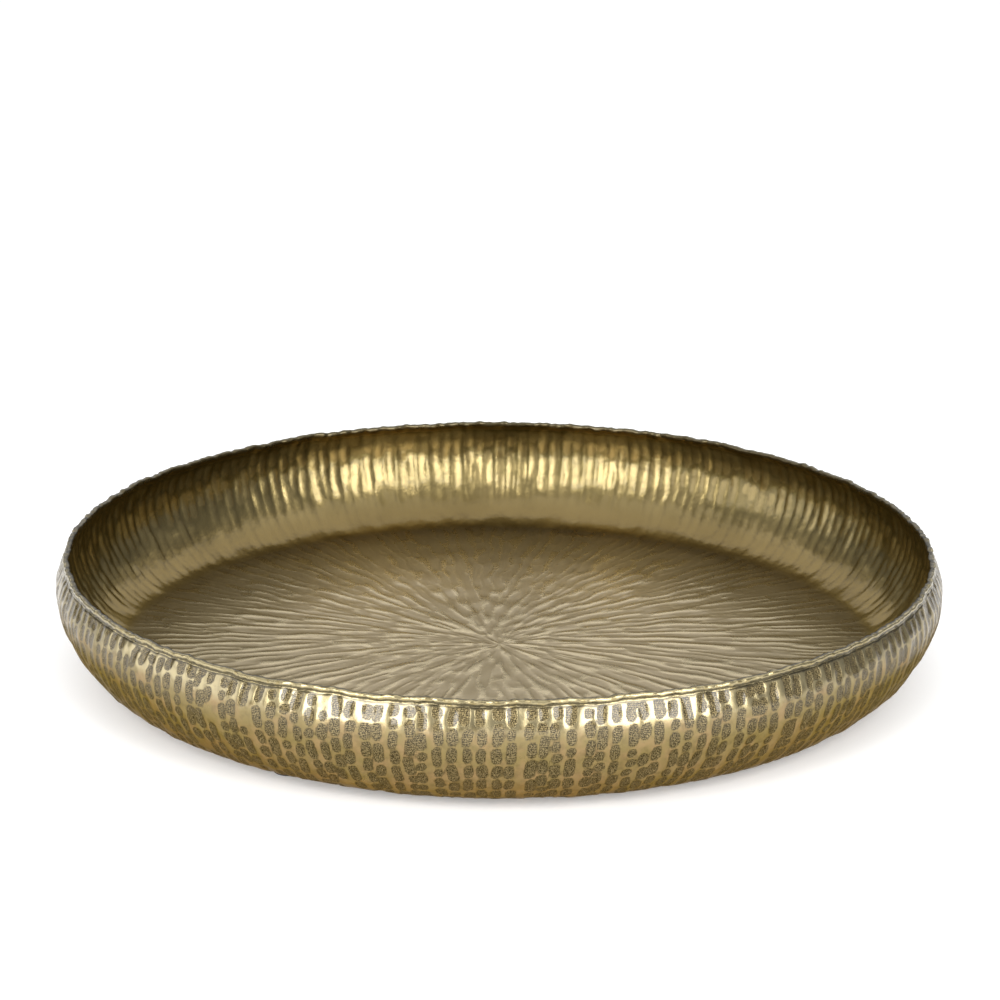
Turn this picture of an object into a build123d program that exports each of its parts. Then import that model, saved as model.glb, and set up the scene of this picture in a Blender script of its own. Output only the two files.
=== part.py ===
from build123d import *
import math
import os

# Round hammered-brass serving tray, in millimetres, +Z up.
# The origin is on the resting plane, on the tray's axis; the front of the tray faces -Y.

# Driving dimensions
diameter = 600.0            # over the widest part of the wall, the bulge
overall_height = 80.0       # from the surface that the tray stands on to the top of the lip
sheet = 1.5                 # gauge of the brass sheet
base_radius = 257.0         # the flat underside ends here
bulge_rise = 56.5           # height of the widest line above the underside
base_pull = 20.7            # how far the corner curve runs on level from the base
bulge_pull = 24.8           # how far the corner curve hangs straight down from the bulge
corner_radius = 30.0        # mean radius of that corner, to keep the sheet's gauge round it
shoulder_radius = 10.0      # the wall turns inwards above the bulge on this radius
lean = 20.5                 # the upper wall leans inwards, degrees from the vertical
lip_width = 3.8             # the folded lip, across
lip_height = 3.2            # the folded lip, up and down
lip_corner = 1.3            # rounding of the lip's section
lip_outer_radius = 293.7    # outside of the lip

pad_diameter = 20.0         # round stick-on foot pads
pad_thickness = 2.7
pad_edge = 0.6              # softened lower edge of a pad
adhesive_diameter = 19.0    # adhesive disc that holds a pad to the brass
adhesive_thickness = 0.3
pad_circle_radius = 248.5   # pad centres lie on this circle
first_pad_angle = -121.3    # front left pad, degrees from +X
pad_names = ["front_left", "front_right", "back_right", "back_left"]

# Derived places
underside = pad_thickness + adhesive_thickness
bulge_radius = diameter / 2
bulge_height = underside + bulge_rise
wall_rise = overall_height - lip_height / 2 - bulge_height
lip_center = (lip_outer_radius - lip_width / 2, overall_height - lip_height / 2)
pad_step = 360 / len(pad_names)


def skin(inset):
    """The skin's line from the axis to the lip, at a depth below the outer face."""
    keep = 1 - inset / corner_radius
    base = (base_radius, underside + inset)
    bulge = (bulge_radius - inset, bulge_height)
    radius = shoulder_radius - inset
    turn = math.radians(lean)
    shoulder_end = (
        bulge[0] - radius * (1 - math.cos(turn)),
        bulge[1] + radius * math.sin(turn),
    )
    rest = wall_rise - radius * math.sin(turn)
    top = (shoulder_end[0] - rest * math.tan(turn), bulge_height + wall_rise)
    floor_line = Line((0, underside + inset), base)
    corner = Bezier(
        base,
        (base[0] + base_pull * keep, base[1]),
        (bulge[0], bulge[1] - bulge_pull * keep),
        bulge,
    )
    shoulder = CenterArc((bulge[0] - radius, bulge[1]), radius, 0, lean)
    wall = Line(shoulder_end, top)
    return [floor_line, corner, shoulder, wall]


def tray_shell():
    """One sheet of brass: floor, bulging wall that leans in, and a thick folded lip."""
    outer = skin(0)
    inner = skin(sheet)
    axis_end = Line(inner[0] @ 0, outer[0] @ 0)
    top_end = Line(outer[-1] @ 1, inner[-1] @ 1)
    section = make_face(Wire(outer + [top_end] + inner + [axis_end]))
    lip = Pos(*lip_center) * RectangleRounded(lip_width, lip_height, lip_corner)
    return revolve(Plane.XZ * (section + lip), Axis.Z, 360)


def at_pad(index):
    """Where a pad stands: the point on the resting plane under its centre."""
    angle = math.radians(first_pad_angle + index * pad_step)
    return Pos(pad_circle_radius * math.cos(angle), pad_circle_radius * math.sin(angle), 0)


def foot_pad():
    """Round pad with a softened lower edge, standing on the resting plane."""
    low = (Align.CENTER, Align.CENTER, Align.MIN)
    pad = Cylinder(pad_diameter / 2, pad_thickness, align=low)
    return fillet(pad.edges().sort_by(Axis.Z)[0], pad_edge)


def adhesive_disc():
    """Thin disc between a pad and the tray's underside."""
    low = (Align.CENTER, Align.CENTER, Align.MIN)
    disc = Cylinder(adhesive_diameter / 2, adhesive_thickness, align=low)
    return Pos(0, 0, pad_thickness) * disc


nodes = {"tray_shell": tray_shell()}
for index, name in enumerate(pad_names):
    nodes["foot_pad_" + name] = at_pad(index) * foot_pad()
    nodes["pad_adhesive_" + name] = at_pad(index) * adhesive_disc()

os.makedirs("parts", exist_ok=True)
for name, shape in nodes.items():
    export_step(shape, "parts/" + name + ".step")
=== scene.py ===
import math

import bmesh
import bpy
import numpy as np
from mathutils import Matrix, Vector


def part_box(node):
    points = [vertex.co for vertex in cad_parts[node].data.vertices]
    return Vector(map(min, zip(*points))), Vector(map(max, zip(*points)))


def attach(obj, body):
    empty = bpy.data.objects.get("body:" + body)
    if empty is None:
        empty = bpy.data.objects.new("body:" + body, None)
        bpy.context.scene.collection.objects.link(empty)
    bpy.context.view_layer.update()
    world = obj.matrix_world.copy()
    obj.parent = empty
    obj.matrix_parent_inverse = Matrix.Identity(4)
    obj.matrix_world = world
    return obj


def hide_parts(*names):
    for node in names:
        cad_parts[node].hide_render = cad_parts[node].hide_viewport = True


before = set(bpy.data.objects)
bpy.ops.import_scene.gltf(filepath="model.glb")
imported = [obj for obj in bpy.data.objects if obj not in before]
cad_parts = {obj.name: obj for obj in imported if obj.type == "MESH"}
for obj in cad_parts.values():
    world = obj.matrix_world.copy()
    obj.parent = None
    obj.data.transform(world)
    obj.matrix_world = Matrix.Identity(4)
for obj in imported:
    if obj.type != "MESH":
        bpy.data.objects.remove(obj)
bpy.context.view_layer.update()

bl_info = {
    "name": "Hammered Brass Tray",
    "version": (1, 0, 0),
    "blender": (4, 5, 0),
    "location": "3D View > Sidebar > Tray",
    "description": "Builds a round hammered brass tray, its foot pads and a plain studio",
    "category": "Add Mesh",
}

MM = 0.001
SHELL = "tray_shell"
PADS = sorted(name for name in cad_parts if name.startswith("foot_pad_"))
ADHESIVES = sorted(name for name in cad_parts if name.startswith("pad_adhesive_"))

shell_low, shell_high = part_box(SHELL)
pad_low, pad_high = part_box(PADS[0])


# ---------------------------------------------------------------- properties

def length(name, description, default):
    """A size in metres."""
    return bpy.props.FloatProperty(name=name, description=description, default=default,
                                   unit="LENGTH", precision=5)


def number(name, description, default):
    """A plain number."""
    return bpy.props.FloatProperty(name=name, description=description, default=default)


def angle(name, description, default_degrees):
    """An angle, given in degrees."""
    return bpy.props.FloatProperty(name=name, description=description, subtype="ANGLE",
                                   default=math.radians(default_degrees))


def count(name, description, default):
    """A whole number."""
    return bpy.props.IntProperty(name=name, description=description, default=default)


def colour(name, description, default):
    """A linear colour."""
    return bpy.props.FloatVectorProperty(name=name, description=description, default=default,
                                         size=3, subtype="COLOR", min=0, max=1)


class TraySizes(bpy.types.PropertyGroup):
    bulge_radius: length("Bulge radius", "Radius of the widest line of the wall",
                         (shell_high.x - shell_low.x) / 2)
    underside: length("Underside", "Height of the flat base", shell_low.z)
    top: length("Top", "Height of the lip's highest point", shell_high.z)
    sheet: length("Sheet", "Gauge of the brass sheet", 1.5 * MM)
    base_radius: length("Base radius", "The flat base ends here", 257 * MM)
    bulge_rise: length("Bulge rise", "Widest line above the base", 56.5 * MM)
    base_pull: length("Base pull", "Level run of the corner curve", 20.7 * MM)
    bulge_pull: length("Bulge pull", "Upright run of the corner curve", 24.8 * MM)
    shoulder_radius: length("Shoulder", "The wall turns inwards on this radius", 15 * MM)
    lean: angle("Lean", "The upper wall leans inwards", 20.5)
    lip_radius: length("Lip radius", "Outside of the folded lip", 293.7 * MM)
    lip_width: length("Lip width", "Folded lip, across", 3.8 * MM)
    lip_height: length("Lip height", "Folded lip, up and down", 3.3 * MM)
    lip_sway: length("Lip sway", "How far the lip dips under its highest point", 2.2 * MM)


class HammerWork(bpy.types.PropertyGroup):
    seed: count("Seed", "Start of the random draws", 11)
    wall_chains: count("Wall chains", "Lines of peen marks round the wall", 212)
    mark_half_width: length("Mark half width", "Half the width of a peen mark", 3.05 * MM)
    wall_depth: length("Wall depth", "Depth of a peen mark outside", 0.55 * MM)
    ridge_height: length("Ridge height", "Height of its back on the inside", 0.8 * MM)
    floor_pitch: length("Floor pitch", "Spacing of the marks on the floor", 8.5 * MM)
    floor_depth: length("Floor depth", "Depth of a mark on the floor", 0.4 * MM)
    star_x: length("Star X", "Centre of the floor's star of marks", -10 * MM)
    star_y: length("Star Y", "Centre of the floor's star of marks", 16 * MM)


class BrassColours(bpy.types.PropertyGroup):
    crest: colour("Crest", "Rubbed brass on the outer crests", (0.235, 0.178, 0.07))
    bed: colour("Bed", "Bright grains in the peen marks", (0.215, 0.166, 0.078))
    # Also laid as painted shade along the marks' edges and in the groove under the lip, and to
    # darken the lip's edges.
    mark: colour("Mark", "Patina inside the peen marks", (0.042, 0.032, 0.014))
    # Laid low on the outer wall as a painted reflection of the floor, a warmer tint that grows
    # downwards; its blotches higher up are a random tone.
    warm_and_floor_reflection: colour("Warm", "Warmer patina low on the wall", (0.315, 0.21, 0.10))
    bowl_low: colour("Bowl low", "Inside of the wall near the floor", (0.165, 0.112, 0.034))
    # The lip colour also lightens the outer crests just under the lip as a painted highlight.
    lip: colour("Lip", "Rubbed brass of the lip", (0.36, 0.30, 0.165))
    floor: colour("Floor", "Satin floor between its marks", (0.47, 0.395, 0.265))
    floor_mark: colour("Floor mark", "Patina in the floor's marks", (0.315, 0.255, 0.165))
    bowl: colour("Bowl", "Inside of the wall", (0.275, 0.21, 0.086))
    # Laid as painted shade under the lip inside and as a painted reflection of the back wall on the
    # rear of the floor; also laid in random darker patches and darker between the ridges.
    bowl_dark_and_painted_shade: colour("Bowl dark", "Patina under the lip and between the ridges",
                      (0.10, 0.078, 0.025))


class StudioSetup(bpy.types.PropertyGroup):
    lens: number("Lens", "Focal length in millimetres", 102.93)
    camera_back: length("Camera back", "Camera in front of the tray's axis", 1.8451)
    camera_up: length("Camera up", "Camera above the resting plane", 0.6964)
    tilt: angle("Tilt", "Camera looks down by this", 17.674)
    roll: angle("Roll", "Camera leans sideways by this", 0.395)
    floor_size: length("Floor size", "Side of the pale floor", 30.0)
    box_power: number("Softbox power", "Watts of the left softbox", 36.0)
    all_round: number("All round", "Strength of the even light from all round", 0.36)


# ------------------------------------------------------------ material maths

class Value:
    """A socket in a node tree. Sums and products with it add Math nodes."""

    def __init__(self, recipe, socket):
        self.recipe = recipe
        self.socket = socket

    def __add__(self, other):
        return self.recipe.maths("ADD", self, other)

    def __radd__(self, other):
        return self.recipe.maths("ADD", other, self)

    def __sub__(self, other):
        return self.recipe.maths("SUBTRACT", self, other)

    def __rsub__(self, other):
        return self.recipe.maths("SUBTRACT", other, self)

    def __mul__(self, other):
        return self.recipe.maths("MULTIPLY", self, other)

    def __rmul__(self, other):
        return self.recipe.maths("MULTIPLY", other, self)

    def __truediv__(self, other):
        return self.recipe.maths("DIVIDE", self, other)

    def __abs__(self):
        return self.recipe.maths("ABSOLUTE", self)


class Recipe:
    """One material, and the way that its nodes are added."""

    def __init__(self, name):
        self.material = bpy.data.materials.new(name)
        self.material.use_nodes = True
        self.tree = self.material.node_tree
        self.shader = self.tree.nodes["Principled BSDF"]
        self.place = self.node("ShaderNodeTexCoord", output="Object")

    def node(self, kind, settings=None, inputs=None, output=0):
        """Adds a node, sets it, then fills or links its sockets, and gives one output."""
        made = self.tree.nodes.new(kind)
        for name, setting in (settings or {}).items():
            setattr(made, name, setting)
        self.fill(made, inputs or {})
        return Value(self, made.outputs[output])

    def fill(self, made, inputs):
        """Gives a node's sockets their values or links."""
        for name, given in inputs.items():
            if isinstance(given, Value):
                self.tree.links.new(given.socket, made.inputs[name])
            else:
                made.inputs[name].default_value = given

    def maths(self, operation, first, second=0.0):
        """One Math node."""
        return self.node("ShaderNodeMath", {"operation": operation}, {0: first, 1: second})

    def attribute(self, name):
        """A number kept for each point of the mesh."""
        return self.node("ShaderNodeAttribute", {"attribute_name": name}, output="Fac")

    def part(self, axis):
        """One coordinate of the place on the piece, in metres."""
        return self.node("ShaderNodeSeparateXYZ", {}, {0: self.place}, output=axis)

    def noise(self, scale, detail=2.0, roughness=0.5, place=None):
        """Noise from 0 to 1, its scale in lumps for each metre."""
        return self.node("ShaderNodeTexNoise", {},
                         {"Vector": place or self.place, "Scale": scale, "Detail": detail,
                          "Roughness": roughness}, output="Fac")

    def step(self, value, low, high, to_low=0.0, to_high=1.0):
        """A smooth step from one value to another."""
        return self.node("ShaderNodeMapRange", {"interpolation_type": "SMOOTHSTEP"},
                         {"Value": value, "From Min": low, "From Max": high,
                          "To Min": to_low, "To Max": to_high})

    def mix(self, share, first, second):
        """Mixes two colours."""
        return self.node("ShaderNodeMix", {"data_type": "RGBA"},
                         {0: share, 6: rgba(first), 7: rgba(second)}, output=2)

    def bump(self, height, distance):
        """A normal bent by a height that counts in units of the distance."""
        return self.node("ShaderNodeBump", {},
                         {"Height": height, "Distance": distance, "Strength": 1.0})

    def finish(self, **inputs):
        """Sets the shader; a name's underscores stand for spaces."""
        self.fill(self.shader, {name.replace("_", " "): given for name, given in inputs.items()})
        return self.material


def rgba(given):
    """A Value as it is, or three numbers as a colour with full alpha."""
    return given if isinstance(given, Value) else (*given[:3], 1.0)


# ------------------------------------------------------------ tray's outline

def wall_line(sizes):
    """The wall's outer line from under the lip down and in to the base, finely drawn."""
    bulge_height = sizes.underside + sizes.bulge_rise
    center = (sizes.bulge_radius - sizes.shoulder_radius, bulge_height)
    turns = np.linspace(sizes.lean, 0, 24)
    shoulder = np.stack([center[0] + sizes.shoulder_radius * np.cos(turns),
                         center[1] + sizes.shoulder_radius * np.sin(turns)], axis=1)
    root_height = sizes.top - sizes.lip_height - 0.4 * MM
    rise = root_height - shoulder[0, 1]
    root = shoulder[0] + np.array([-rise * math.tan(sizes.lean), rise])
    corner = bezier((sizes.bulge_radius, bulge_height),
                    (sizes.bulge_radius, bulge_height - sizes.bulge_pull),
                    (sizes.base_radius + sizes.base_pull, sizes.underside),
                    (sizes.base_radius, sizes.underside))
    base_end = np.array([(0, sizes.underside)])
    return np.vstack([root[None], shoulder, corner[1:], base_end])


def bezier(start, start_pull, end_pull, end, steps=200):
    """Points along a cubic curve."""
    t = np.linspace(0, 1, steps)[:, None]
    ends = [np.array(point, float) for point in (start, start_pull, end_pull, end)]
    weights = [(1 - t) ** 3, 3 * (1 - t) ** 2 * t, 3 * (1 - t) * t ** 2, t ** 3]
    return sum(weight * point for weight, point in zip(weights, ends))


def walk(line, stations):
    """Points and outward normals at given distances along a line that runs down and in."""
    reach = np.r_[0, np.cumsum(np.linalg.norm(np.diff(line, axis=0), axis=1))]
    ways = np.gradient(line, reach, axis=0)
    at = np.stack([np.interp(stations, reach, line[:, axis]) for axis in (0, 1)], axis=1)
    way = np.stack([np.interp(stations, reach, ways[:, axis]) for axis in (0, 1)], axis=1)
    way /= np.linalg.norm(way, axis=1)[:, None]
    return at, np.stack([-way[:, 1], way[:, 0]], axis=1)


class Ring:
    """One edge loop of the shell: its zone, its place, its skin's outward normal, and how far
    along the wall it is from the rim. On the lip, one degree of turn counts as a millimetre."""

    def __init__(self, zone, radius, height, normal, along):
        self.zone = zone
        self.radius = float(radius)
        self.height = float(height)
        self.normal = normal
        self.along = float(along)


UNDER, OUTSIDE, LIP, INSIDE, FLOOR = range(5)
COLUMNS = 1200               # edge loops of the wall have this many points
ROW = 4.2 * MM               # spacing of the outer wall's edge loops
INNER_ROW = 5.0 * MM         # spacing of the inner wall's
FLOOR_ROW = 5.4 * MM         # spacing of the floor's
LIP_TURNS = (-52, -22, 12, 48, 90, 132, 168, 202, 236)
UPPER_ROWS = (0, 1.6, 3.4, 6.0, 9.0)  # first loops under the lip, in millimetres
FLAT_ALONG = 110 * MM        # floor and base count as this far from the rim


def wall_rings(sizes):
    """Edge loops from the underside up the wall, round the lip and down inside."""
    line = wall_line(sizes)
    corner_end = np.abs(line[:, 0] - sizes.base_radius).argmin()
    wall_length = np.linalg.norm(np.diff(line[:corner_end + 1], axis=0), axis=1).sum()
    upper = np.array(UPPER_ROWS) * MM
    outer_steps = np.r_[upper, np.arange(upper[-1] + ROW, wall_length + 8 * MM, ROW)]
    inner_steps = np.r_[3.0 * MM, np.arange(6.5 * MM, wall_length + 8 * MM, INNER_ROW)]
    at, normal = walk(line, outer_steps)
    outer = [Ring(OUTSIDE, *point, way, step)
             for point, way, step in zip(at, normal, outer_steps)][::-1]
    at, normal = walk(line, inner_steps)
    at = at - normal * sizes.sheet
    inner = [Ring(INSIDE, *point, way, step)
             for point, way, step in zip(at, normal, inner_steps)]
    center = (sizes.lip_radius - sizes.lip_width / 2, sizes.top - sizes.lip_height / 2)
    lip = []
    for turn in LIP_TURNS:
        way = np.array([math.cos(math.radians(turn)), math.sin(math.radians(turn))])
        bow = np.sign(way) * np.abs(way) ** 0.75
        lip.append(Ring(LIP, center[0] + bow[0] * sizes.lip_width / 2,
                        center[1] + bow[1] * sizes.lip_height / 2, way, turn * MM))
    return outer + lip + inner


def flat_rings(zone, height, start, end, step, normal):
    """Level edge loops from one radius in to another."""
    rows = max(1, round((start - end) / step))
    return [Ring(zone, radius, height, np.array(normal, float), FLAT_ALONG)
            for radius in np.linspace(start, end, rows + 1)]


# ------------------------------------------------------------- edit mode work

def active_mesh():
    """The mesh of the piece in work."""
    return bpy.context.view_layer.objects.active.data


def start_piece(name):
    """Deselects everything and opens an empty piece in edit mode."""
    bpy.ops.object.select_all(action="DESELECT")
    bpy.ops.mesh.primitive_plane_add(size=MM)
    piece = bpy.context.view_layer.objects.active
    piece.name = name
    piece.data.name = name
    bpy.ops.object.mode_set(mode="EDIT")
    bpy.ops.mesh.delete(type="VERT")
    return piece


def add_loop(ring, columns):
    """Adds a circle of edges on a ring, and leaves just that selected."""
    bpy.ops.mesh.select_all(action="DESELECT")
    bpy.ops.mesh.primitive_circle_add(vertices=columns, radius=ring.radius,
                                      location=(0, 0, ring.height), fill_type="NOTHING")


def pick_open_loops(*rings):
    """Selects just the open edges that are on the given rings."""
    bpy.ops.mesh.select_all(action="DESELECT")
    edit = bmesh.from_edit_mesh(active_mesh())
    for edge in edit.edges:
        if edge.is_boundary:
            edge.select = any(all(on_ring(vert.co, ring) for vert in edge.verts) for ring in rings)
    edit.select_flush_mode()
    bmesh.update_edit_mesh(active_mesh())


def extrude_rings(rings, closed_end=False):
    """Extrudes the selected loop, which is on the first ring, to each next one."""
    for before, after in zip(rings, rings[1:]):
        rise = after.height - before.height
        growth = after.radius / before.radius
        bpy.ops.mesh.extrude_edges_move(TRANSFORM_OT_translate={"value": (0, 0, rise)})
        bpy.ops.transform.resize(value=(growth, growth, 1), center_override=(0, 0, after.height))
    if closed_end:
        bpy.ops.mesh.extrude_edges_move()
        bpy.ops.mesh.merge(type="CENTER")


def on_ring(place, ring):
    """Whether a point is on a ring."""
    near = 0.05 * MM
    return (abs(math.hypot(place.x, place.y) - ring.radius) < near
            and abs(place.z - ring.height) < near)


def places_of(mesh):
    """A mesh's points as an array."""
    places = np.zeros(len(mesh.vertices) * 3)
    mesh.vertices.foreach_get("co", places)
    return places.reshape(-1, 3)


# --------------------------------------------------------------- hammer marks

def smooth(value, low, high):
    """A smooth step that is 0 at low and 1 at high."""
    share = np.clip((value - low) / (high - low), 0, 1)
    return share * share * (3 - 2 * share)


def wall_marks(draw, work, reach):
    """Chains of peen marks that run down the wall. Each mark is its angle, its place along
    the wall, its slant, half its width, half its length and its strength. The gaps
    between marks are on edge loops, so that the mesh can show them."""
    marks = []
    step = math.tau / work.wall_chains
    for chain in range(work.wall_chains):
        turn = (chain + draw.uniform(-0.15, 0.15)) * step
        start = draw.uniform(-0.8, 1.6) * MM
        end = UPPER_ROWS[-1] * MM + ROW * draw.integers(-1, 2)
        while start < reach:
            half = (end - start) / 2 - draw.uniform(0.2, 0.85) * MM
            width = work.mark_half_width * draw.uniform(0.92, 1.14)
            aside = turn + draw.normal(0, 0.07) * step
            if draw.uniform() > 0.03:
                marks.append((aside, (start + end) / 2, draw.normal(0, 0.08), width, half,
                              draw.uniform(0.7, 1.1)))
            start = end
            end += ROW * draw.choice((2, 3, 3, 3, 4))
            turn += draw.normal(0, 0.03) * step
    return np.array(marks)


def floor_marks(draw, work, reach):
    """Rays of marks that start at the star's centre; new rays open where they spread."""
    marks = []
    turns = [math.tau * (ray + draw.uniform(-0.25, 0.25)) / 9 for ray in range(9)]
    radius = 5 * MM
    while radius < reach:
        row = 13.5 * MM if radius > 40 * MM else 19 * MM
        pitch = work.floor_pitch
        opened = []
        turns.sort()
        for ray, turn in enumerate(turns):
            opened.append(turn)
            gap = (turns[(ray + 1) % len(turns)] - turn) % math.tau
            if gap * (radius + row / 2) > 1.45 * pitch:
                opened.append(turn + gap / 2)
        turns = [turn + draw.normal(0, 0.11) * pitch / (radius + row) for turn in opened]
        for turn in turns:
            half = row * draw.uniform(0.46, 0.62)
            middle = radius + row / 2 + draw.normal(0, 0.16) * row
            width = min(work.mark_half_width, 0.38 * middle * math.tau / len(turns))
            marks.append((turn, middle, draw.normal(0, 0.05), width * draw.uniform(0.8, 1.15),
                          half, draw.uniform(0.6, 1.1)))
        radius += row
    return np.array(marks)


FAR = 6.0 * MM               # distances to a mark are measured up to this


def distance_to_marks(turns, along, radii, marks):
    """Signed distance from each point to the nearest mark's edge, and that mark's strength."""
    order = np.argsort(along)
    turns, along, radii = turns[order], along[order], radii[order]
    nearest = np.full(len(along), FAR)
    strength = np.ones(len(along))
    for turn, middle, slant, width, half, force in marks:
        low, high = np.searchsorted(along, (middle - half - FAR, middle + half + FAR))
        down = along[low:high] - middle
        aside = (turns[low:high] - turn + math.pi) % math.tau - math.pi
        aside = aside * radii[low:high] - slant * down
        corner = 0.5 * width
        over = np.abs(aside) - (width - corner)
        past = np.abs(down) - (half - corner)
        away = (np.hypot(np.maximum(over, 0), np.maximum(past, 0))
                + np.minimum(np.maximum(over, past), 0) - corner)
        closer = away < nearest[low:high]
        nearest[low:high][closer] = away[closer]
        strength[low:high][closer] = force
    back = np.empty_like(order)
    back[order] = np.arange(len(order))
    return nearest[back], strength[back]


def ripple(draw, turns, along, shortest, longest, waves):
    """A random even ripple of about unit height, without a seam round the tray."""
    total = np.zeros(len(turns))
    around = math.tau * shell_high.x
    for _ in range(waves):
        size = draw.uniform(shortest, longest)
        way = draw.uniform(0, math.tau)
        lobes = round(around / size * math.cos(way))
        total += np.sin(lobes * turns + math.tau / size * math.sin(way) * along
                        + draw.uniform(0, math.tau))
    return total / math.sqrt(waves / 2)


# Larger dents of the lip: degrees round from +X, size, and spread in degrees; a negative size
# is a rise
LIP_DENTS = ((-121, 1.0, 3.2), (-112, -0.7, 3.0), (131, 1.0, 3.0), (139, 0.7, 4.0),
             (44, 0.6, 2.5), (-62, 0.6, 2.6), (12, 0.7, 4.0), (-160, 0.7, 3.0))


def lip_sway(draw, turns, sizes):
    """How far the lip dips at each angle, with a few listed dents, and how far it sways out."""
    dip = np.zeros(len(turns))
    for at, size, spread in LIP_DENTS:
        off = (turns - math.radians(at) + math.pi) % math.tau - math.pi
        dip += size * np.exp(-(off / math.radians(spread)) ** 2)
    flat = np.zeros(len(turns))
    waves = ripple(draw, turns, flat, 16 * MM, 80 * MM, 14) * 0.28
    small = ripple(draw, turns, flat, 7 * MM, 14 * MM, 10) * 0.13
    down = dip * 0.75 + waves + small
    low, high = down.min(), down.max()
    out = ripple(draw, turns, flat, 14 * MM, 60 * MM, 14) * 0.3 * MM
    return (down - low) / (high - low) * sizes.lip_sway, out


# ------------------------------------------------------------- the shell

def shell_rings(sizes):
    """All edge loops of the closed sheet, in bands of (rings, points in each ring)."""
    wall = wall_rings(sizes)
    floor_height = sizes.underside + sizes.sheet
    edge = wall[-1].radius - FLOOR_ROW
    up, down = (0, 1), (0, -1)
    return [
        (wall, COLUMNS),
        (flat_rings(FLOOR, floor_height, edge, 190 * MM, FLOOR_ROW, up), COLUMNS),
        (flat_rings(FLOOR, floor_height, 185 * MM, 95 * MM, FLOOR_ROW, up), COLUMNS // 2),
        (flat_rings(FLOOR, floor_height, 90 * MM, 45 * MM, FLOOR_ROW, up), COLUMNS // 4),
        (flat_rings(FLOOR, floor_height, 40 * MM, 20 * MM, 5 * MM, up), COLUMNS // 8),
        (flat_rings(FLOOR, floor_height, 16 * MM, 4 * MM, 4 * MM, up), COLUMNS // 20),
        ([wall[0], *flat_rings(UNDER, sizes.underside, 240 * MM, 120 * MM, 120 * MM, down)],
         COLUMNS),
    ]


def model_shell(bands):
    """Extrudes each band from a circle, joins the bands, and extrudes and closes the base."""
    piece = start_piece("hammered_brass_tray")
    bpy.ops.mesh.select_mode(type="EDGE")
    *inward, base = bands
    for rings, columns in inward:
        add_loop(rings[0], columns)
        extrude_rings(rings, closed_end=rings is inward[-1][0])
    for (before, _), (after, _) in zip(inward, inward[1:]):
        pick_open_loops(before[-1], after[0])
        bpy.ops.mesh.bridge_edge_loops()
    pick_open_loops(base[0][0])
    extrude_rings(base[0], closed_end=True)
    bpy.ops.mesh.select_all(action="SELECT")
    bpy.ops.mesh.normals_make_consistent(inside=False)
    bpy.ops.object.mode_set(mode="OBJECT")
    return piece


class Skin:
    """The shell's points with the ring that each one is on, as arrays. Height counts most, so
    that the two middle points go with the nearest ring of their own level."""

    def __init__(self, mesh, bands):
        rings = [ring for band, columns in bands for ring in band]
        self.places = places_of(mesh)
        self.radii = np.hypot(self.places[:, 0], self.places[:, 1])
        self.turns = np.arctan2(self.places[:, 1], self.places[:, 0])
        nearest = np.full(len(self.places), np.inf)
        owner = np.zeros(len(self.places), int)
        for index, ring in enumerate(rings):
            off = np.hypot(self.radii - ring.radius, 100 * (self.places[:, 2] - ring.height))
            closer = off < nearest
            nearest[closer] = off[closer]
            owner[closer] = index
        self.zones = np.array([ring.zone for ring in rings])[owner]
        self.outside = self.zones == OUTSIDE
        self.inside = self.zones == INSIDE
        self.wall = self.outside | self.inside
        self.lip = self.zones == LIP
        self.along = np.array([ring.along for ring in rings])[owner]
        self.reach = self.along[self.wall].max()
        normals = np.array([ring.normal for ring in rings])[owner]
        self.outward = np.stack([np.cos(self.turns) * normals[:, 0],
                                 np.sin(self.turns) * normals[:, 0], normals[:, 1]], axis=1)
        self.sideways = np.stack([np.cos(self.turns), np.sin(self.turns),
                                  np.zeros(len(self.turns))], axis=1)
        self.away = np.full(len(self.turns), FAR)
        self.force = np.ones(len(self.turns))


def star_polar(places, work, reach):
    """Angle and radius about the star's centre, which drifts to the axis at the floor's edge."""
    off_axis = np.array([work.star_x, work.star_y])
    radii = np.hypot(places[:, 0], places[:, 1])
    share = 1 - smooth(radii, 0, reach)
    moved = places[:, :2] - off_axis * share[:, None]
    return np.arctan2(moved[:, 1], moved[:, 0]), np.hypot(moved[:, 0], moved[:, 1])


def hammer(mesh, bands, sizes, work):
    """Peens the shell: moves its points, and keeps how far each is from a mark's edge."""
    skin = Skin(mesh, bands)
    draw = np.random.default_rng(work.seed)
    mark_wall(draw, skin, work)
    star = Star(draw, skin, sizes, work)
    dent_wall(draw, skin, sizes, work)
    star.dent(draw, skin, sizes, work)
    bend_lip(draw, skin, sizes)
    hold_in(skin, sizes)
    mesh.vertices.foreach_set("co", skin.places.ravel())
    keep(mesh, "mark", skin.away / MM)
    keep(mesh, "along", skin.along / MM)
    return skin


def mark_wall(draw, skin, work):
    """Measures the wall's points to its peen marks, and inside to the marks' smaller backs."""
    marks = wall_marks(draw, work, skin.reach)
    backs = marks - (0, 0, 0, 0.2 * MM, 1.2 * MM, 0)
    for side, shapes in ((skin.outside, marks), (skin.inside, backs)):
        skin.away[side], skin.force[side] = distance_to_marks(
            skin.turns[side], skin.along[side], skin.radii[side], shapes)


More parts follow.
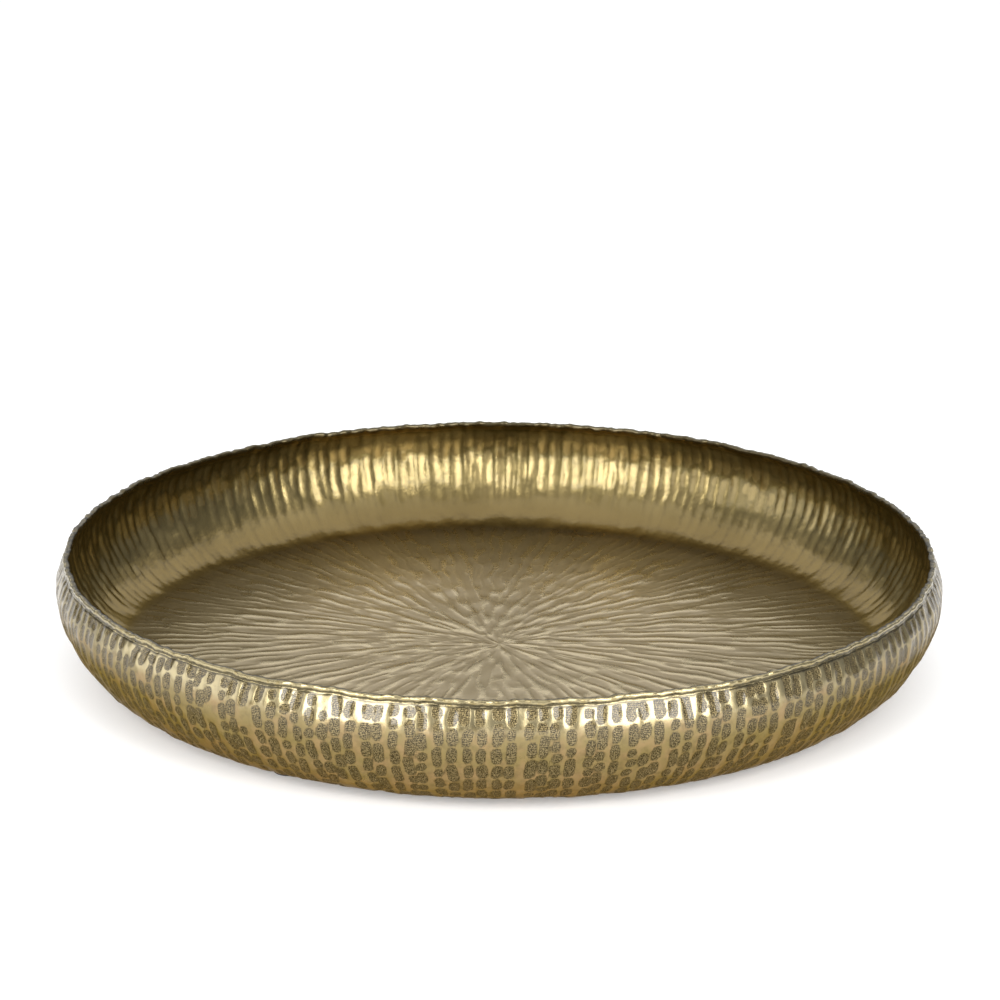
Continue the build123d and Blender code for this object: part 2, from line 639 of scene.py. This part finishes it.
def dent_wall(draw, skin, sizes, work):
    """Cuts the groove under the lip, sinks the marks outside, raises their backs as soft ridges
    inside, and lets the sheet sag, most of all along the knuckle above the bulge."""
    to_base = 1 - smooth(skin.along, skin.reach - 16 * MM, skin.reach - 3 * MM)
    to_lip = 0.35 + 0.65 * smooth(skin.along, 3 * MM, 26 * MM)
    to_floor = smooth(skin.radii, sizes.base_radius - 4 * MM, sizes.base_radius + 36 * MM)
    groove = (1 - smooth(skin.along, 0.4 * MM, 4 * MM)) * 0.5 * MM
    marks = smooth(-skin.away, -0.25 * MM, 1.3 * MM) * skin.force * work.wall_depth * to_base
    ridges = smooth(-skin.away, -1.9 * MM, 1.7 * MM) * skin.force * work.ridge_height
    sag = ripple(draw, skin.turns, skin.along, 14 * MM, 55 * MM, 30) * 0.2 * MM - 0.3 * MM
    flats = ripple(draw, skin.turns, skin.along, 9 * MM, 30 * MM, 24) * 0.35 - 0.8
    knuckle = np.exp(-((skin.along - 15 * MM) / (7 * MM)) ** 2) * flats * 0.4 * MM
    sink = (np.where(skin.outside, groove + marks, 0)
            + np.where(skin.inside, ridges * to_lip * to_floor, 0)
            - np.where(skin.wall, sag * to_base + knuckle, 0))
    skin.places -= skin.outward * sink[:, None]


class Star:
    """The star of marks on the floor, measured from its own centre."""

    def __init__(self, draw, skin, sizes, work):
        edge = sizes.base_radius
        turns, self.radii = star_polar(skin.places, work, edge)
        turns += (ripple(draw, skin.turns, self.radii, 26 * MM, 70 * MM, 18) * 1.1 * MM
                  / np.maximum(self.radii, 25 * MM))
        rays = floor_marks(draw, work, edge - 3 * MM)
        self.bowl = (skin.zones == FLOOR) | (skin.inside & (skin.radii < edge + 6 * MM))
        radii = self.radii[self.bowl]
        self.away, self.force = distance_to_marks(turns[self.bowl], radii, radii, rays)

    def dent(self, draw, skin, sizes, work):
        """Sinks the marks in the floor, a little unevenly, and fades them out at its edge."""
        edge = sizes.base_radius
        bowl = self.bowl
        dish = ripple(draw, skin.turns, self.radii, 30 * MM, 90 * MM, 16) * 0.1 * MM
        marks = smooth(-self.away, -1.7 * MM, 1.5 * MM) * self.force * work.floor_depth
        fade = ((1 - smooth(skin.radii[bowl], edge - 4 * MM, edge + 4 * MM))
                * (1 - 0.45 * smooth(skin.radii[bowl], edge * 0.7, edge)))
        skin.places[bowl, 2] += (0.5 * work.floor_depth - marks + dish[bowl]) * fade
        flat = bowl & (skin.radii < edge + 1 * MM)
        skin.away[flat] = self.away[flat[bowl]]


def bend_lip(draw, skin, sizes):
    """Dips and sways the lip together with the top of the wall, and works facets in the lip."""
    down, out = lip_sway(draw, skin.turns, sizes)
    near_rim = np.where(skin.wall, np.exp(-(skin.along / (9 * MM)) ** 2), 0)
    near_rim[skin.lip] = 1
    skin.places[:, 2] -= down * near_rim
    skin.places += skin.sideways * (out * near_rim)[:, None]
    facets = ripple(draw, skin.turns, skin.places[:, 2] * 3, 5 * MM, 16 * MM, 18) * 0.24 * MM
    skin.places[skin.lip] += skin.outward[skin.lip] * facets[skin.lip, None]


def hold_in(skin, sizes):
    """Keeps every point within the tray's width and height."""
    clearance = 0.02 * MM
    radii = np.hypot(skin.places[:, 0], skin.places[:, 1])
    squeeze = np.minimum(1, (sizes.bulge_radius - clearance) / np.maximum(radii, MM))
    skin.places[:, :2] *= squeeze[:, None]
    skin.places[:, 2] = np.clip(skin.places[:, 2], sizes.underside, sizes.top - clearance)


def keep(mesh, name, values):
    """Stores one number for each point."""
    mesh.attributes.new(name, "FLOAT", "POINT").data.foreach_set("value", values.astype(np.float32))


def share_finishes(mesh, zones):
    """Gives each face the finish of its zone: wall, lip or bowl."""
    corners = np.zeros(len(mesh.loops), int)
    mesh.loops.foreach_get("vertex_index", corners)
    starts = np.zeros(len(mesh.polygons), int)
    sides = np.zeros(len(mesh.polygons), int)
    mesh.polygons.foreach_get("loop_start", starts)
    mesh.polygons.foreach_get("loop_total", sides)
    mean = np.add.reduceat(zones[corners], starts) / sides
    finish = np.where(mean < 1.45, 0, np.where(mean <= 2.2, 1, 2))
    mesh.polygons.foreach_set("material_index", finish)


# ------------------------------------------------------------------ finishes

def wall_finish(colours):
    """Outside: rubbed crests and peen marks with a darkened, stippled bed; a painted highlight under
    the lip, painted shade along the marks' edges and in the groove under the lip, and a painted
    reflection of the floor low on the wall.
    """
    recipe = Recipe("peened_wall")
    mark = recipe.attribute("mark")
    along = recipe.attribute("along")
    cloud = recipe.noise(28, 3)
    fine = recipe.noise(210, 3)
    grit = recipe.noise(1100, 2)
    edge = mark + (recipe.noise(520, 3) - 0.5) * 1.3
    bed = recipe.step(edge, 0.4, -0.5)
    # Mask for painted shade: a thin band along each mark's edge.
    line = recipe.step(abs(edge + 0.15), 0.1, 0.6, 1, 0)
    stipple = stippling(recipe, along, 2.2)
    # Mask for the painted reflection of the floor: it grows towards the bottom of the outer wall.
    low = recipe.step(along + (cloud - 0.5) * 60, 30, 88)
    blotch = recipe.noise(75, 2)
    crest = recipe.mix(recipe.step(blotch, 0.42, 0.68) * 0.7, colours.crest, colours.warm_and_floor_reflection)
    crest = recipe.mix(low, crest, colours.warm_and_floor_reflection)
    # Painted highlight: the crests lighten towards the lip colour in the band just under the lip.
    crest = recipe.mix(recipe.step(along + (fine - 0.5) * 10, 20, 10) * 0.9, crest, colours.lip)
    crest = recipe.mix(recipe.step(fine, 0.45, 0.75) * 0.25, crest, colours.mark)
    # The bright grains in the marks take the same painted reflection of the floor low down.
    bright = recipe.mix(low * 0.6, colours.bed, colours.warm_and_floor_reflection)
    patina_and_painted_shade = recipe.mix(recipe.step(stipple, -0.2, 0.5), colours.mark, bright)
    tint = recipe.mix(bed, crest, patina_and_painted_shade)
    # Painted shade: a thin dark line along each mark's edge.
    tint = recipe.mix(line * 0.35, tint, colours.mark)
    # Painted shadow: the outer wall darkens in the groove just under the lip.
    groove = recipe.step(along + (fine - 0.5) * 2.5, 1.9, 0.4)
    tint = recipe.mix(groove * 0.9, tint, colours.mark)
    rough = 0.27 + bed * 0.13 + (cloud - 0.5) * 0.1 + grit * 0.06
    height = bed * -0.14 + stipple * bed * 0.13 + (fine - 0.5) * 0.1 + grit * 0.015
    height = height + (recipe.noise(95, 1) - 0.5) * 0.5
    return recipe.finish(Base_Color=tint, Metallic=1.0, Roughness=rough,
                         Coat_Weight=recipe.step(along, 36, 12) * 0.8, Coat_Roughness=0.13,
                         Specular_Tint=(0.5, 0.44, 0.33, 1.0), Normal=recipe.bump(height, MM))


def stippling(recipe, along, pitch):
    """A crossed tool texture broken up by grains, about -1 to 1, its pitch in millimetres."""
    x = recipe.part(0)
    y = recipe.part(1)
    sway = (recipe.noise(330, 2) - 0.5) * 3.2
    around = recipe.maths("ARCTAN2", x, y * -1.0) * (shell_high.x / MM) + sway
    first = (around + along) * (math.tau / pitch)
    second = (around - along + sway) * (math.tau / pitch)
    grains = recipe.node("ShaderNodeTexVoronoi", {}, {"Vector": recipe.place, "Scale": 920},
                         output="Distance")
    weave = recipe.maths("SINE", first) * recipe.maths("SINE", second)
    return weave * 0.9 + (grains - 0.42) * 1.4


def bowl_finish(colours):
    """Inside: glossy olive wall with soft ridges, and a satin floor with a star of marks; painted
    shade under the lip and a painted reflection of the back wall on the rear of the floor.
    """
    recipe = Recipe("bowl_inside")
    mark = recipe.attribute("mark")
    x = recipe.part(0)
    y = recipe.part(1)
    radius = recipe.maths("SQRT", x * x + y * y) / MM
    floor = recipe.step(radius, 263, 252)
    wall = 1 - floor
    fine = recipe.noise(260, 3)
    cloud = recipe.noise(24, 3)
    grain = recipe.noise(700, 2)
    edge = mark + (fine - 0.5) * 2.6
    bed = recipe.step(edge, 1.2, -1.3)
    floor_tint = recipe.mix(bed, colours.floor, colours.floor_mark)
    floor_tint = recipe.mix(recipe.step(fine, 0.45, 0.75) * 0.4, floor_tint, colours.floor_mark)
    wall_tint = recipe.mix(recipe.step(cloud, 0.35, 0.75) * 0.5, colours.bowl, colours.bowl_dark_and_painted_shade)
    along = recipe.attribute("along")
    valley = recipe.step(edge, -0.6, 1.4) * recipe.step(along, 66, 26)
    wall_tint = recipe.mix(valley * 0.7, wall_tint, colours.bowl_dark_and_painted_shade)
    wall_tint = recipe.mix(recipe.step(along, 46, 76) * 0.75, wall_tint, colours.bowl_low)
    # Painted shade: the inner wall darkens just under the lip.
    painted_shade_under_lip = recipe.step(along + (cloud - 0.5) * 16, 26, 6)
    wall_tint = recipe.mix(painted_shade_under_lip * 0.6, wall_tint, colours.bowl_dark_and_painted_shade)
    # Painted reflection: the rear of the floor darkens where it would mirror the dark back wall.
    painted_back_wall_reflection = recipe.step(radius, 120, 235) * recipe.step(y, -0.17, -0.02)
    floor_tint = recipe.mix(painted_back_wall_reflection * 0.4, floor_tint, colours.bowl_dark_and_painted_shade)
    tint = recipe.mix(floor, wall_tint, floor_tint)
    rough = 0.3 - floor * 0.06 + (cloud - 0.5) * 0.1 + bed * floor * 0.09 + grain * 0.05
    height = bed * floor * -0.1 + (fine - 0.5) * (0.09 + wall * 0.14) + grain * 0.012
    return recipe.finish(Base_Color=tint, Metallic=1.0, Roughness=rough, Coat_Weight=0.35,
                         Coat_Roughness=0.16, Specular_Tint=(0.75, 0.68, 0.5, 1.0),
                         Normal=recipe.bump(height, MM))


def lip_finish(colours):
    """The lip: rubbed bright on its face; darkened in the crease under it as painted shadow, and
    darkened over its top and inner side.
    """
    recipe = Recipe("rubbed_lip")
    turn = recipe.attribute("along")
    speck = recipe.noise(330, 3)
    cloud = recipe.noise(60, 2)
    turn = turn + (speck - 0.5) * 80
    # Darkens the lip over its top and inner side.
    patina_and_painted_shade = recipe.step(turn, 44, 84)
    # Adds painted shadow along the lip's lower edge, in the crease under it.
    patina_and_painted_shade = recipe.maths("MAXIMUM", patina_and_painted_shade, recipe.step(turn, -2, -28))
    tint = recipe.mix(recipe.step(speck, 0.5, 0.68) * 0.7, colours.lip, colours.bowl)
    # The lip darkens to the mark colour under this mask.
    tint = recipe.mix(patina_and_painted_shade * 0.85, tint, colours.mark)
    rough = 0.22 + cloud * 0.14
    height = (speck - 0.5) * 0.2 + (cloud - 0.5) * 0.5
    return recipe.finish(Base_Color=tint, Metallic=1.0, Roughness=rough, Coat_Weight=0.3,
                         Coat_Roughness=0.16, Normal=recipe.bump(height, MM))


def rubber_finish():
    """Black rubber with a fine moulded grain."""
    recipe = Recipe("black_rubber")
    grain = recipe.noise(1500, 2)
    dust = recipe.noise(180, 3)
    tint = recipe.mix(recipe.step(dust, 0.5, 0.8) * 0.5, (0.012, 0.012, 0.012), (0.05, 0.048, 0.045))
    return recipe.finish(Base_Color=tint, Metallic=0.0, Roughness=0.55 + grain * 0.25,
                         Normal=recipe.bump(grain, 0.08 * MM))


def adhesive_finish():
    """Dull, slightly yellow adhesive tape."""
    recipe = Recipe("adhesive_tape")
    blotch = recipe.noise(400, 3)
    tint = recipe.mix(blotch, (0.62, 0.6, 0.52), (0.74, 0.72, 0.66))
    return recipe.finish(Base_Color=tint, Metallic=0.0, Roughness=0.45 + blotch * 0.2,
                         Normal=recipe.bump(blotch, 0.03 * MM))


def studio_floor_finish():
    """Pale matt studio floor."""
    recipe = Recipe("pale_floor")
    blotch = recipe.noise(3, 2)
    tint = recipe.mix(blotch, (0.80, 0.80, 0.80), (0.82, 0.82, 0.82))
    return recipe.finish(Base_Color=tint, Metallic=0.0, Roughness=0.7,
                         Emission_Color=(1.0, 1.0, 1.0, 1.0), Emission_Strength=0.2)


# ----------------------------------------------------------------- operators

class TRAY_OT_shell(bpy.types.Operator):
    """Models the hammered sheet: floor, wall and folded lip"""

    bl_idname = "tray.shell"
    bl_label = "Brass shell"

    def execute(self, context):
        scene = context.scene
        bands = shell_rings(scene.tray_sizes)
        piece = model_shell(bands)
        skin = hammer(piece.data, bands, scene.tray_sizes, scene.tray_hammer)
        for finish in (wall_finish, lip_finish, bowl_finish):
            piece.data.materials.append(finish(scene.tray_colours))
        share_finishes(piece.data, skin.zones)
        bpy.ops.object.shade_smooth()
        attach(piece, "root")
        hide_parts(SHELL)
        return {"FINISHED"}


class TRAY_OT_pads(bpy.types.Operator):
    """Models one moulded foot pad and copies it to each place; finishes the adhesive discs"""

    bl_idname = "tray.pads"
    bl_label = "Foot pads"

    def execute(self, context):
        pattern = model_pad()
        pattern.data.materials.append(rubber_finish())
        for name in PADS:
            low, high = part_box(name)
            piece = copy_to(pattern, name.replace("foot_pad", "rubber_pad"), (low + high) / 2)
            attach(piece, "root")
            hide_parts(name)
        bpy.data.objects.remove(pattern)
        tape = adhesive_finish()
        for name in ADHESIVES:
            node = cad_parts[name]
            node.data.materials.clear()
            node.data.materials.append(tape)
        return {"FINISHED"}


def model_pad():
    """A round pad with a softened sole and a shallow ring moulded in it, centred on the origin."""
    bpy.ops.object.select_all(action="DESELECT")
    size = pad_high - pad_low
    bpy.ops.mesh.primitive_cylinder_add(vertices=64, radius=size.x / 2, depth=size.z)
    piece = bpy.context.view_layer.objects.active
    bpy.ops.object.mode_set(mode="EDIT")
    bpy.ops.mesh.select_mode(type="FACE")
    pick_faces(lambda face: face.normal.z < -0.9)
    bpy.ops.mesh.bevel(offset=0.7 * MM, segments=3, affect="EDGES")
    for inset, sink in ((1.6 * MM, 0), (0.5 * MM, 0.35 * MM), (1.2 * MM, 0), (0.5 * MM, -0.35 * MM)):
        pick_faces(lambda face: face.normal.z < -0.9 and len(face.verts) > 40)
        bpy.ops.mesh.inset(thickness=inset)
        bpy.ops.transform.translate(value=(0, 0, sink))
    bpy.ops.object.mode_set(mode="OBJECT")
    bpy.ops.object.shade_smooth_by_angle(angle=math.radians(35))
    return piece


def copy_to(pattern, name, place):
    """Copies a piece, with a mesh of its own, and moves the copy's points to a place."""
    bpy.ops.object.select_all(action="DESELECT")
    pattern.select_set(True)
    bpy.context.view_layer.objects.active = pattern
    bpy.ops.object.duplicate(linked=False)
    piece = bpy.context.view_layer.objects.active
    piece.name = name
    piece.data.name = name
    bpy.ops.transform.translate(value=place)
    bpy.ops.object.transform_apply(location=True, rotation=False, scale=False)
    return piece


def pick_faces(test):
    """Selects just the faces that pass a test."""
    bpy.ops.mesh.select_all(action="DESELECT")
    edit = bmesh.from_edit_mesh(active_mesh())
    for face in edit.faces:
        face.select = test(face)
    bmesh.update_edit_mesh(active_mesh())


# Each light's name, degrees round from the front, degrees up, distance and size in metres, and
# its share of the left softbox's power
LIGHTS = (
    ("softbox_left", -31, 25, 2.1, (0.8, 1.65), 1),
    ("softbox_right", 33, 25, 2.1, (1.1, 1.65), 1.2),
    ("fill_left", -80, 14, 2.4, (1.6, 1.2), 0.36),
    ("overhead", 180, 69, 4.3, (9.0, 9.0), 8),
)


class TRAY_OT_stage(bpy.types.Operator):
    """Lays the pale floor, hangs the soft lights and sets the camera"""

    bl_idname = "tray.stage"
    bl_label = "Studio"

    def execute(self, context):
        studio = context.scene.tray_studio
        bpy.ops.object.select_all(action="DESELECT")
        bpy.ops.mesh.primitive_plane_add(size=studio.floor_size)
        floor = bpy.context.view_layer.objects.active
        floor.name = "studio_floor"
        floor.data.materials.append(studio_floor_finish())
        for name, around, above, away, size, share in LIGHTS:
            softbox(name, around, above, away, size, studio.box_power * share)
        surround(context.scene, studio)
        camera(context.scene, studio)
        return {"FINISHED"}


def softbox(name, around, above, away, size, power):
    """A soft rectangular light that faces the tray; angles in degrees from the front."""
    around, above = math.radians(around), math.radians(above)
    place = Vector((math.sin(around) * math.cos(above), -math.cos(around) * math.cos(above),
                    math.sin(above))) * away
    bpy.ops.object.light_add(type="AREA", location=place)
    light = bpy.context.view_layer.objects.active
    light.name = name
    light.rotation_euler = place.to_track_quat("Z", "Y").to_euler()
    light.data.shape = "RECTANGLE"
    light.data.size, light.data.size_y = size
    light.data.energy = power


def surround(scene, studio):
    """Even pale light from all round."""
    world = bpy.data.worlds.new("studio_light")
    scene.world = world
    world.use_nodes = True
    background = world.node_tree.nodes["Background"]
    background.inputs["Color"].default_value = (0.93, 0.96, 1.0, 1)
    background.inputs["Strength"].default_value = studio.all_round


def camera(scene, studio):
    """The view from the front and a little above."""
    bpy.ops.object.camera_add(location=(0, -studio.camera_back, studio.camera_up))
    made = bpy.context.view_layer.objects.active
    made.name = "front_camera"
    turn = Matrix.Rotation(math.pi / 2 - studio.tilt, 3, "X") @ Matrix.Rotation(studio.roll, 3, "Z")
    made.rotation_euler = turn.to_euler()
    made.data.lens = studio.lens
    made.data.sensor_width = 36
    made.data.clip_end = 100
    scene.camera = made
    scene.view_settings.view_transform = "Standard"


class TRAY_PT_panel(bpy.types.Panel):
    """Lists the tray's pieces"""

    bl_idname = "TRAY_PT_panel"
    bl_label = "Hammered Tray"
    bl_space_type = "VIEW_3D"
    bl_region_type = "UI"
    bl_category = "Tray"

    def draw(self, context):
        for made in STEPS:
            self.layout.operator(made.bl_idname)
        for group in GROUPS:
            for name in GROUPS[group].__annotations__:
                self.layout.prop(getattr(context.scene, group), name)


GROUPS = {"tray_sizes": TraySizes, "tray_hammer": HammerWork,
          "tray_colours": BrassColours, "tray_studio": StudioSetup}
STEPS = (TRAY_OT_shell, TRAY_OT_pads, TRAY_OT_stage)


def register():
    """Adds the properties, the operators and the panel."""
    for made in (*GROUPS.values(), *STEPS, TRAY_PT_panel):
        bpy.utils.register_class(made)
    for name, group in GROUPS.items():
        setattr(bpy.types.Scene, name, bpy.props.PointerProperty(type=group))


def unregister():
    """Takes them away again."""
    for name in GROUPS:
        delattr(bpy.types.Scene, name)
    for made in (TRAY_PT_panel, *reversed(STEPS), *GROUPS.values()):
        bpy.utils.unregister_class(made)


def main():
    """Builds the tray and its studio."""
    register()
    for step in STEPS:
        group, name = step.bl_idname.split(".")
        getattr(getattr(bpy.ops, group), name)()


if __name__ == "__main__":
    main()
